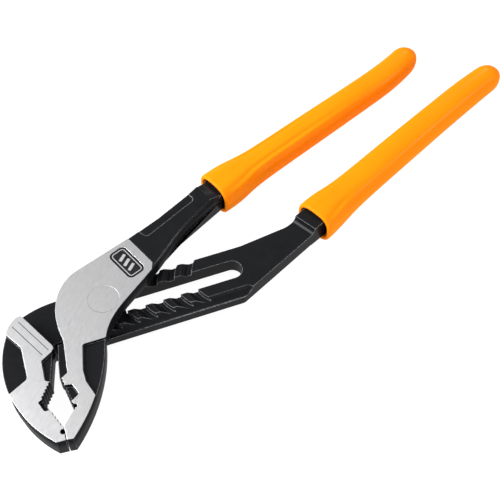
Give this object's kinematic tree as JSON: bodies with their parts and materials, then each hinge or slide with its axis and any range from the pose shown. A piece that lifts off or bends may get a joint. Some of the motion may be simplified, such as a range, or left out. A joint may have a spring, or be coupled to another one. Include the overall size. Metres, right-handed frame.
{
  "type": "tongue and groove pliers",
  "caption": "Long-handled slip-joint gripping pliers: two steel levers joined by a bolt that slides between arc grooves, with toothed angled jaws and dipped vinyl grips.",
  "frame": {"origin": "centre of the bolt's back end, on the pivot axis, level with the back face of the nut", "axes": "+X from the jaws towards the handle ends, +Z along the pivot axis out of the ground front face, +Y towards the tongue lever's handle"},
  "size_m": [0.3142, 0.0841, 0.02],
  "materials": {
    "forged_steel": "black forging scale with a ground bright front",
    "ground_steel": "ground",
    "black_oxide": "black oxide",
    "dipped_vinyl": "smooth satin vinyl"
  },
  "bodies": {
    "groove_lever_body": {"groove_lever": "forged_steel", "groove_lever_grip": "dipped_vinyl"},
    "pivot_carriage": {"pivot_bolt": "ground_steel", "pivot_washer": "black_oxide", "pivot_nut": "black_oxide"},
    "tongue_lever_body": {"tongue_lever": "forged_steel", "tongue_lever_grip": "dipped_vinyl"}
  },
  "joints": [
    {"name": "pivot_slide", "type": "slide", "parent": "groove_lever_body", "child": "pivot_carriage", "axis": [0.8729, -0.4879, 0], "range_m": [0, 0.0513]},
    {"name": "jaw_hinge", "type": "hinge", "parent": "pivot_carriage", "child": "tongue_lever_body", "pos_m": [0, 0, 0.01625], "axis": [0, 0, 1], "range_deg": [0, 42]}
  ]
}
